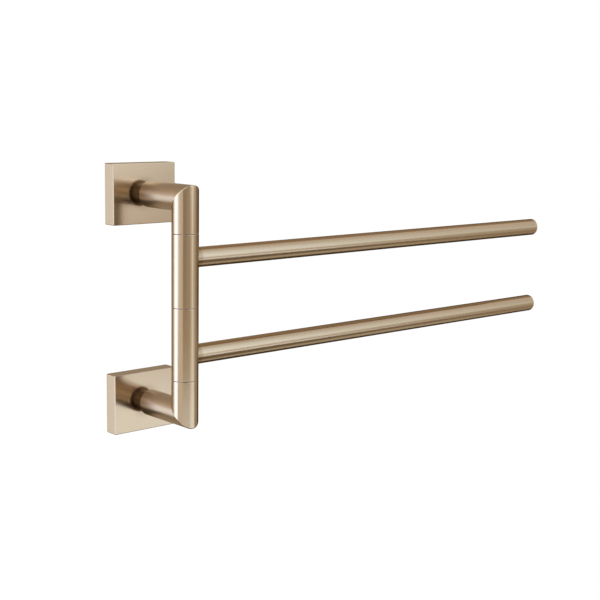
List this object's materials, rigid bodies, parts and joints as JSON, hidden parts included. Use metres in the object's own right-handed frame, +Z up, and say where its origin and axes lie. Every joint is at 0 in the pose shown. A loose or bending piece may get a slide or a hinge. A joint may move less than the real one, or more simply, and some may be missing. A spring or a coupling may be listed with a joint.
{
  "type": "swing arm towel bar",
  "caption": "Wall-mounted towel bar with two arms that swing about a pivot column held between mitred posts on rectangular flanges.",
  "frame": {"origin": "on the wall, midway between the two flanges and straight behind the pivot column; the centre of the four wall screw holes", "axes": "+Z up, +Y into the wall, +X along the wall, the way both arms point at rest"},
  "size_m": [0.435, 0.072, 0.206],
  "materials": {
    "brushed_bronze": "finely brushed champagne bronze",
    "raw_brass": "turned",
    "shadow_collar": "dark satin",
    "steel": "stainless",
    "zinc_plated_steel": "zinc plated",
    "nylon": "moulded"
  },
  "bodies": {
    "wall_mount": {"upper_wall_bracket": "zinc_plated_steel", "upper_flange": "brushed_bronze", "upper_flange_set_screw": "steel", "upper_post_screw": "steel", "upper_post_washer": "steel", "upper_post_collar": "shadow_collar", "upper_post_dowel": "steel", "upper_post_plug": "raw_brass", "upper_elbow_post": "brushed_bronze", "upper_elbow_boss": "raw_brass", "lower_wall_bracket": "zinc_plated_steel", "lower_flange": "brushed_bronze", "lower_flange_set_screw": "steel", "lower_post_screw": "steel", "lower_post_washer": "steel", "lower_post_collar": "shadow_collar", "lower_post_dowel": "steel", "lower_post_plug": "raw_brass", "lower_elbow_post": "brushed_bronze", "lower_elbow_boss": "raw_brass", "pivot_rod": "steel", "top_seam_washer": "nylon", "middle_seam_washer": "nylon", "bottom_seam_washer": "nylon", "tension_disc": "steel"},
    "upper_arm": {"upper_hub": "brushed_bronze", "upper_arm_stud": "steel", "upper_arm_plug": "raw_brass", "upper_arm_bar": "brushed_bronze", "upper_arm_end_cap": "brushed_bronze", "upper_hub_top_bush": "nylon", "upper_hub_bottom_bush": "nylon"},
    "lower_arm": {"lower_hub": "brushed_bronze", "lower_arm_stud": "steel", "lower_arm_plug": "raw_brass", "lower_arm_bar": "brushed_bronze", "lower_arm_end_cap": "brushed_bronze", "lower_hub_top_bush": "nylon", "lower_hub_bottom_bush": "nylon"}
  },
  "joints": [
    {"name": "upper_arm_swing", "type": "hinge", "parent": "wall_mount", "child": "upper_arm", "pos_m": [0, -0.062, 0.03625], "axis": [0, 0, 1], "range_deg": [-187, 7]},
    {"name": "lower_arm_swing", "type": "hinge", "parent": "wall_mount", "child": "lower_arm", "pos_m": [0, -0.062, -0.03625], "axis": [0, 0, 1], "range_deg": [-187, 7]}
  ]
}
